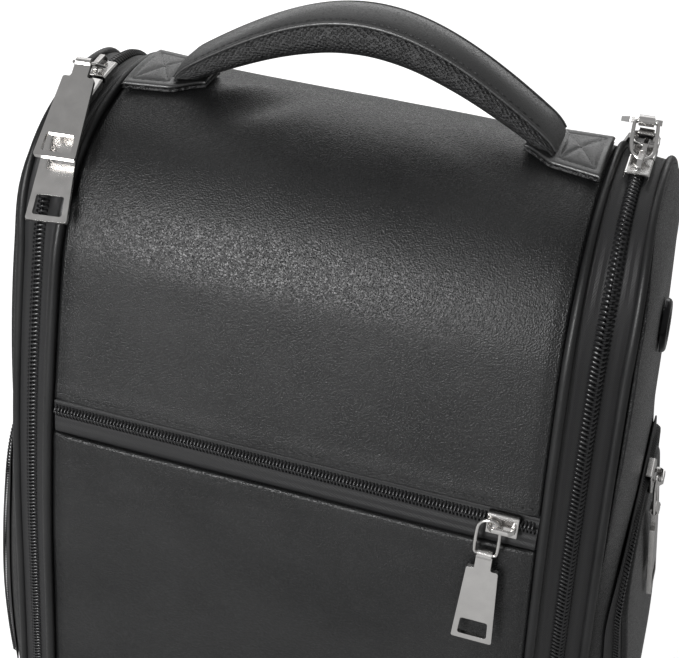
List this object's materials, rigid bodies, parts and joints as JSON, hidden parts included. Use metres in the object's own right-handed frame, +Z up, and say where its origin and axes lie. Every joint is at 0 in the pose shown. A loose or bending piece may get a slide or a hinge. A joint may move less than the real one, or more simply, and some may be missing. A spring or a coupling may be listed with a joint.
{
  "type": "golf shoe bag",
  "caption": "Upright leather shoe bag with an arched band, zipped fold-down side doors, a zipped front pocket, zipped side pockets and a padded top handle.",
  "frame": {"origin": "middle of the flat base, on the floor", "axes": "+Z up, -Y out of the front pocket's side, +X to the right as seen from the front"},
  "size_m": [0.3032, 0.1714, 0.3956],
  "materials": {
    "leather": "black grained synthetic leather, satin",
    "piping_leather": "black smooth synthetic leather over cord, satin",
    "lining_cloth": "dark grey woven lining over thin padding",
    "board": "dark grey stiffener board",
    "zip_tape": "black woven zip tape with a black nylon coil",
    "air_mesh": "black spacer mesh",
    "nickel": "polished nickel-plated zinc",
    "black_metal": "black lacquered metal"
  },
  "bodies": {
    "bag_body": {"back_panel": "leather", "base_board": "board", "base_panel": "leather", "centre_divider": "lining_cloth", "front_panel": "leather", "front_pocket_panel": "leather", "front_zip_lower_stringer": "zip_tape", "front_zip_upper_stringer": "zip_tape", "handle_cover": "leather", "handle_pad": "air_mesh", "handle_patch_left": "leather", "handle_patch_right": "leather", "left_hinge_gusset": "leather", "left_inner_piping": "piping_leather", "left_inner_stringer": "zip_tape", "lining_sleeve": "lining_cloth", "right_hinge_gusset": "leather", "right_inner_piping": "piping_leather", "right_inner_stringer": "zip_tape"},
    "left_door": {"left_door_panel": "leather", "left_outer_stringer": "zip_tape", "left_outer_piping": "piping_leather", "left_side_pocket_panel": "leather", "left_side_pocket_outer_stringer": "zip_tape", "left_side_pocket_inner_stringer": "zip_tape", "left_vent_eyelet": "black_metal", "left_vent_mesh": "air_mesh"},
    "right_door": {"right_door_panel": "leather", "right_outer_stringer": "zip_tape", "right_outer_piping": "piping_leather", "right_side_pocket_panel": "leather", "right_side_pocket_outer_stringer": "zip_tape", "right_side_pocket_inner_stringer": "zip_tape", "right_vent_eyelet": "black_metal", "right_vent_mesh": "air_mesh"},
    "front_pocket_slider": {"front_pocket_slider": "nickel"},
    "front_pocket_link": {"front_pocket_link": "nickel"},
    "front_pocket_pull": {"front_pocket_pull": "nickel"},
    "left_upper_slider": {"left_upper_slider": "nickel"},
    "left_upper_link": {"left_upper_link": "nickel"},
    "left_upper_pull": {"left_upper_pull": "nickel"},
    "left_lower_slider": {"left_lower_slider": "nickel"},
    "left_lower_link": {"left_lower_link": "nickel"},
    "left_lower_pull": {"left_lower_pull": "nickel"},
    "left_side_pocket_slider": {"left_side_pocket_slider": "nickel"},
    "left_side_pocket_link": {"left_side_pocket_link": "nickel"},
    "left_side_pocket_pull": {"left_side_pocket_pull": "nickel"},
    "right_upper_slider": {"right_upper_slider": "nickel"},
    "right_upper_link": {"right_upper_link": "nickel"},
    "right_upper_pull": {"right_upper_pull": "nickel"},
    "right_lower_slider": {"right_lower_slider": "nickel"},
    "right_lower_link": {"right_lower_link": "nickel"},
    "right_lower_pull": {"right_lower_pull": "nickel"},
    "right_side_pocket_slider": {"right_side_pocket_slider": "nickel"},
    "right_side_pocket_link": {"right_side_pocket_link": "nickel"},
    "right_side_pocket_pull": {"right_side_pocket_pull": "nickel"}
  },
  "joints": [
    {"name": "left_door_hinge", "type": "hinge", "parent": "bag_body", "child": "left_door", "pos_m": [-0.13531, 0, 0.01334], "axis": [0, -1, 0], "range_deg": [0, 75]},
    {"name": "left_upper_run", "type": "hinge", "parent": "bag_body", "child": "left_upper_slider", "pos_m": [-0.0985, 0, 0.2589], "axis": [-1, 0, 0], "range_deg": [0, 12]},
    {"name": "left_lower_run", "type": "hinge", "parent": "bag_body", "child": "left_lower_slider", "pos_m": [-0.0985, 0, 0.2589], "axis": [1, 0, 0], "range_deg": [0, 7]},
    {"name": "left_upper_link_lift", "type": "hinge", "parent": "left_upper_slider", "child": "left_upper_link", "pos_m": [-0.10831, -0.00518, 0.35638], "axis": [-0.9945, -0.1045, -0.0037], "range_deg": [0, 70]},
    {"name": "left_upper_pull_lift", "type": "hinge", "parent": "left_upper_link", "child": "left_upper_pull", "pos_m": [-0.10688, -0.01913, 0.36507], "axis": [-0.9945, -0.1045, -0.0037], "range_deg": [0, 80]},
    {"name": "left_lower_link_swing", "type": "hinge", "parent": "left_lower_slider", "child": "left_lower_link", "pos_m": [-0.10818, -0.02124, 0.35092], "axis": [0.0181, 0.1771, -0.984], "range_deg": [0, 35]},
    {"name": "left_lower_pull_lift", "type": "hinge", "parent": "left_lower_link", "child": "left_lower_pull", "pos_m": [-0.10675, -0.03545, 0.35081], "axis": [-0.9944, -0.0997, -0.0362], "range_deg": [0, 12]},
    {"name": "left_side_pocket_run", "type": "slide", "parent": "left_door", "child": "left_side_pocket_slider", "axis": [0, 1, 0], "range_m": [-0.012, 0.012]},
    {"name": "right_door_hinge", "type": "hinge", "parent": "bag_body", "child": "right_door", "pos_m": [0.13531, 0, 0.01334], "axis": [0, 1, 0], "range_deg": [0, 75]},
    {"name": "right_upper_run", "type": "hinge", "parent": "bag_body", "child": "right_upper_slider", "pos_m": [0.0985, 0, 0.2589], "axis": [1, 0, 0], "range_deg": [0, 12]},
    {"name": "right_lower_run", "type": "hinge", "parent": "bag_body", "child": "right_lower_slider", "pos_m": [0.0985, 0, 0.2589], "axis": [-1, 0, 0], "range_deg": [0, 7]},
    {"name": "right_upper_link_lift", "type": "hinge", "parent": "right_upper_slider", "child": "right_upper_link", "pos_m": [0.10831, 0.00518, 0.35638], "axis": [0.9945, 0.1045, -0.0037], "range_deg": [0, 70]},
    {"name": "right_upper_pull_lift", "type": "hinge", "parent": "right_upper_link", "child": "right_upper_pull", "pos_m": [0.10688, 0.01913, 0.36507], "axis": [0.9945, 0.1045, -0.0037], "range_deg": [0, 80]},
    {"name": "right_lower_link_swing", "type": "hinge", "parent": "right_lower_slider", "child": "right_lower_link", "pos_m": [0.10818, 0.02124, 0.35092], "axis": [-0.0181, -0.1771, -0.984], "range_deg": [0, 35]},
    {"name": "right_lower_pull_lift", "type": "hinge", "parent": "right_lower_link", "child": "right_lower_pull", "pos_m": [0.10675, 0.03545, 0.35081], "axis": [0.9944, 0.0997, -0.0362], "range_deg": [0, 12]},
    {"name": "right_side_pocket_run", "type": "slide", "parent": "right_door", "child": "right_side_pocket_slider", "axis": [0, 1, 0], "range_m": [-0.012, 0.012]},
    {"name": "front_pocket_run", "type": "slide", "parent": "bag_body", "child": "front_pocket_slider", "axis": [-1, 0, 0], "range_m": [0, 0.17]},
    {"name": "front_pocket_link_swing", "type": "hinge", "parent": "front_pocket_slider", "child": "front_pocket_link", "pos_m": [0.0829, -0.07842, 0.23667], "axis": [0, -0.9945, 0.1046], "range_deg": [-25, 25]},
    {"name": "front_pocket_pull_lift", "type": "hinge", "parent": "front_pocket_link", "child": "front_pocket_pull", "pos_m": [0.0829, -0.08295, 0.22327], "axis": [-1, 0, 0], "range_deg": [0, 100]},
    {"name": "left_side_pocket_link_swing", "type": "hinge", "parent": "left_side_pocket_slider", "child": "left_side_pocket_link", "pos_m": [-0.13741, 0.0046, 0.21], "axis": [-0.9918, 0, 0.1282], "range_deg": [-25, 25]},
    {"name": "left_side_pocket_pull_lift", "type": "hinge", "parent": "left_side_pocket_link", "child": "left_side_pocket_pull", "pos_m": [-0.14225, 0.0046, 0.19671], "axis": [0, 1, 0], "range_deg": [0, 100]},
    {"name": "right_side_pocket_link_swing", "type": "hinge", "parent": "right_side_pocket_slider", "child": "right_side_pocket_link", "pos_m": [0.13741, -0.0046, 0.21], "axis": [0.9918, 0, 0.1282], "range_deg": [-25, 25]},
    {"name": "right_side_pocket_pull_lift", "type": "hinge", "parent": "right_side_pocket_link", "child": "right_side_pocket_pull", "pos_m": [0.14225, -0.0046, 0.19671], "axis": [0, -1, 0], "range_deg": [0, 100]}
  ]
}
